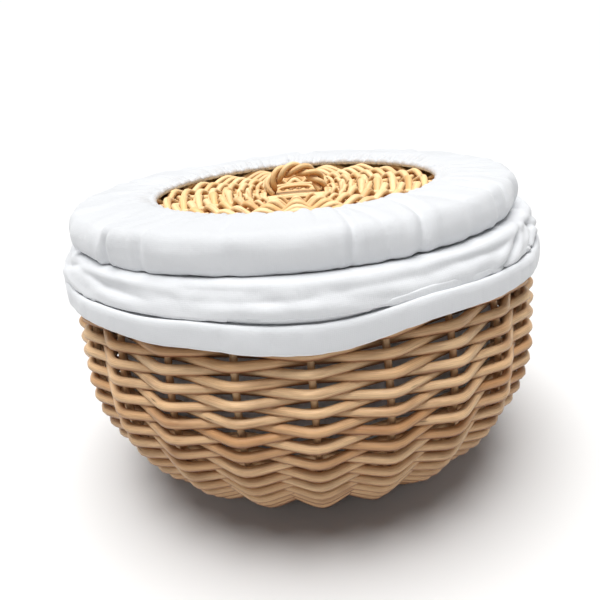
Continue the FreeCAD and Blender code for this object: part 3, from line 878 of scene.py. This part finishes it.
def willow(name, light, mid, dark, blotch, under):
    """Peeled willow: long grain, darker patches, small bud scars, a soft gloss, a painted highlight
    on the sides that look up and painted shade on the sides that look down."""
    material, tree, surface = new_material(name)
    uv = node(tree, "ShaderNodeUVMap", {"uv_map": "UVMap"}).outputs[0]
    tone = node(tree, "ShaderNodeAttribute", {"attribute_name": "tone"}).outputs["Fac"]
    shift = node(tree, "ShaderNodeVectorMath", {"operation": "SCALE"}, i0=(7.3, 3.1, 11.0), Scale=tone)
    place = node(tree, "ShaderNodeVectorMath", {"operation": "ADD"}, i0=uv, i1=shift.outputs[0]).outputs[0]

    def spread(along, around):
        return node(tree, "ShaderNodeMapping", None, Vector=place, Scale=(along, around, 1.0)).outputs[0]

    grain = node(tree, "ShaderNodeTexNoise", None, Vector=spread(70, 2600), Scale=1.0, Detail=4.0, Roughness=0.6)
    patch = node(tree, "ShaderNodeTexNoise", None, Vector=spread(22, 70), Scale=1.0, Detail=3.0, Roughness=0.55)
    long_tone = node(tree, "ShaderNodeTexNoise", None, Vector=spread(5, 12), Scale=1.0, Detail=2.0)
    scars = node(tree, "ShaderNodeTexVoronoi", None, Vector=spread(17, 120), Scale=1.0, Randomness=1.0)
    scar = ramp(tree, scars.outputs["Distance"], (0.0, 1.0), (0.10, 0.0))
    rods = ramp(tree, tone, (0.0, dark), (0.45, mid), (1.0, light))
    colour = mixed(tree, ramp(tree, long_tone.outputs["Fac"], (0.35, 0.0), (0.7, 0.8)), rods, light)
    colour = mixed(tree, ramp(tree, patch.outputs["Fac"], (0.52, 0.0), (0.80, 0.75)), colour, blotch)
    colour = mixed(tree, ramp(tree, grain.outputs["Fac"], (0.30, 0.45), (0.62, 0.0)), colour, blotch)
    colour = mixed(tree, scar, colour, tuple(c * 0.35 for c in blotch))
    # Painted light: sides that look up are multiplied up to 1.4 times brighter as a painted highlight, and sides
    # that look down are multiplied towards the last colour as painted shade
    looks_up = node(
        tree, "ShaderNodeSeparateXYZ", None, Vector=node(tree, "ShaderNodeTexCoord").outputs["Normal"]
    ).outputs["Z"]
    for start, end, painted_light_tint in ((0.05, 0.85, (1.40, 1.40, 1.42)), (0.10, -0.75, under)):
        share = smooth_step(tree, looks_up, start, end, 0.0, 1.0)
        colour = mixed(tree, 1.0, colour, mixed(tree, share, (1.0, 1.0, 1.0), painted_light_tint), "MULTIPLY")
    tree.links.new(colour, surface.inputs["Base Color"])
    rough = node(
        tree, "ShaderNodeMapRange", None, Value=grain.outputs["Fac"], i1=0.3, i2=0.7, i3=0.38, i4=0.56
    ).outputs[0]
    tree.links.new(rough, surface.inputs["Roughness"])
    surface.inputs["Specular IOR Level"].default_value = 0.42
    height = mixed(tree, 0.35, grain.outputs["Fac"], patch.outputs["Fac"])
    height = mixed(tree, scar, height, (0.0, 0.0, 0.0))
    relief = node(tree, "ShaderNodeBump", None, Strength=0.35, Distance=0.0006, Height=height)
    tree.links.new(relief.outputs[0], surface.inputs["Normal"])
    return material


def cotton(name, colour):
    """Plain cotton: a fine weave of threads, a soft nap and faint creasing."""
    material, tree, surface = new_material(name)
    uv = node(tree, "ShaderNodeUVMap", {"uv_map": "UVMap"}).outputs[0]
    threads = []
    for direction in ("X", "Y"):
        band = node(
            tree, "ShaderNodeTexWave",
            {"wave_type": "BANDS", "bands_direction": direction, "wave_profile": "SIN"},
            Vector=uv, Scale=260.0, Distortion=1.2, Detail=1.0,
        )
        threads.append(band.outputs["Fac"])
    weave = node(tree, "ShaderNodeMath", {"operation": "MULTIPLY"}, i0=threads[0], i1=threads[1]).outputs[0]
    place = node(tree, "ShaderNodeTexCoord").outputs["Object"]
    crumple = node(tree, "ShaderNodeTexNoise", None, Vector=place, Scale=38.0, Detail=5.0, Roughness=0.55)
    cloud = node(tree, "ShaderNodeTexNoise", None, Vector=place, Scale=14.0, Detail=2.0)
    shade = tuple(c * 0.93 for c in colour)
    base = mixed(tree, ramp(tree, cloud.outputs["Fac"], (0.3, 0.0), (0.7, 0.6)), colour, shade)
    base = mixed(tree, ramp(tree, weave, (0.0, 0.0), (0.8, 0.35)), base, tuple(c * 0.86 for c in colour))
    tree.links.new(base, surface.inputs["Base Color"])
    surface.inputs["Roughness"].default_value = 0.88
    surface.inputs["Specular IOR Level"].default_value = 0.2
    surface.inputs["Sheen Weight"].default_value = 0.25
    surface.inputs["Sheen Roughness"].default_value = 0.5
    fine = node(tree, "ShaderNodeBump", None, Strength=0.25, Distance=0.0002, Height=weave)
    soft = node(
        tree, "ShaderNodeBump", None,
        Strength=0.35, Distance=0.004, Height=crumple.outputs["Fac"], Normal=fine.outputs[0],
    )
    tree.links.new(soft.outputs[0], surface.inputs["Normal"])
    return material


def braided_elastic():
    material, tree, surface = new_material("braided_elastic")
    uv = node(tree, "ShaderNodeUVMap", {"uv_map": "UVMap"}).outputs[0]
    band = node(
        tree, "ShaderNodeTexWave", {"wave_type": "BANDS", "bands_direction": "DIAGONAL"},
        Vector=uv, Scale=220.0, Distortion=0.5,
    )
    base = ramp(tree, band.outputs["Fac"], (0.2, (0.62, 0.61, 0.58)), (0.8, (0.84, 0.83, 0.80)))
    tree.links.new(base, surface.inputs["Base Color"])
    surface.inputs["Roughness"].default_value = 0.7
    relief = node(tree, "ShaderNodeBump", None, Strength=0.4, Distance=0.0003, Height=band.outputs["Fac"])
    tree.links.new(relief.outputs[0], surface.inputs["Normal"])
    return material


def pale_floor():
    material, tree, surface = new_material("pale_floor")
    surface.inputs["Base Color"].default_value = (0.80, 0.80, 0.80, 1)
    surface.inputs["Roughness"].default_value = 0.9
    surface.inputs["Specular IOR Level"].default_value = 0.1
    return material


# Room, light and camera

def make_stage():
    bpy.ops.object.select_all(action="DESELECT")
    bpy.ops.mesh.primitive_plane_add(size=12, location=(0, 0, 0))
    floor = bpy.context.object
    floor.name = "floor"
    floor.data.materials.append(pale_floor())
    world = bpy.data.worlds.new("studio")
    bpy.context.scene.world = world
    world.use_nodes = True
    tree = world.node_tree
    sky = node(tree, "ShaderNodeTexCoord").outputs["Generated"]
    direction = node(tree, "ShaderNodeSeparateXYZ", None, Vector=sky)
    behind = smooth_step(tree, direction.outputs["Y"], 0.15, 0.5, 0.0, 1.0)
    low = smooth_step(tree, direction.outputs["Z"], 0.2, 0.4, 1.0, 0.0)
    sweep = node(tree, "ShaderNodeMath", {"operation": "MULTIPLY"}, i0=behind, i1=low)
    strength = node(tree, "ShaderNodeMapRange", None, Value=sweep.outputs[0], i3=SKY, i4=BACKDROP)
    tree.links.new(strength.outputs[0], tree.nodes["Background"].inputs["Strength"])
    tree.nodes["Background"].inputs["Color"].default_value = (0.97, 0.985, 1.0, 1)
    for name, aim, spread, power, colour in (
        ("ceiling", (0.06, 0.10, -1.0), 45, 3.85, (1.0, 0.995, 0.985)),
        ("flash", (0.12, 0.95, -0.75), 12, 0.20, (1.0, 0.98, 0.95)),
    ):
        sun = bpy.data.lights.new(name, "SUN")
        sun.energy = power
        sun.angle = math.radians(spread)
        sun.color = colour
        lamp = bpy.data.objects.new(name, sun)
        bpy.context.scene.collection.objects.link(lamp)
        lamp.rotation_euler = Vector(aim).to_track_quat("-Z", "Y").to_euler()


def make_camera():
    camera = bpy.data.cameras.new("camera")
    camera.sensor_width = 36
    camera.lens = 35.2
    holder = bpy.data.objects.new("camera", camera)
    bpy.context.scene.collection.objects.link(holder)
    pitch, yaw, roll = 0.3665, 0.0094, -0.092
    aim = Euler((math.pi / 2 - pitch, 0, yaw)).to_matrix() @ Euler((0, 0, roll)).to_matrix()
    holder.location = (0, -0.538, 0.353)
    holder.rotation_euler = aim.to_euler()
    bpy.context.scene.camera = holder


make_camera()
make_stage()
bpy.context.scene.view_settings.view_transform = "Standard"
# The last colour of each willow is the painted shade on the sides that look down
brown = willow(
    "smoked_willow", (0.80, 0.56, 0.32), (0.70, 0.44, 0.225), (0.56, 0.31, 0.14), (0.24, 0.09, 0.034),
    (0.34, 0.19, 0.12),
)
honey = willow(
    "pale_willow", (0.84, 0.64, 0.37), (0.80, 0.56, 0.29), (0.72, 0.46, 0.20), (0.48, 0.24, 0.08),
    (0.60, 0.38, 0.22),
)
white = cotton("white_cotton", (0.76, 0.775, 0.80))
elastic_cord = braided_elastic()

make_base(brown)
rope_ring(
    "foot_rope", foot_high.y - (foot_high.z + 0.0005) / 2, foot_high.z / 2, foot_high.z / 2, FOOT_TURNS,
    brown, "basket", "willow", "foot_wale",
)
make_stakes(brown)
make_wall(brown)
rope_ring("rim_rope", rim_radius, rim_level, rim_rope, RIM_TURNS, brown, "basket", "willow", "rim_border")
make_lid_willow(honey)
make_handle(honey)
make_liner(white, elastic_cord)
make_cover(white, elastic_cord)
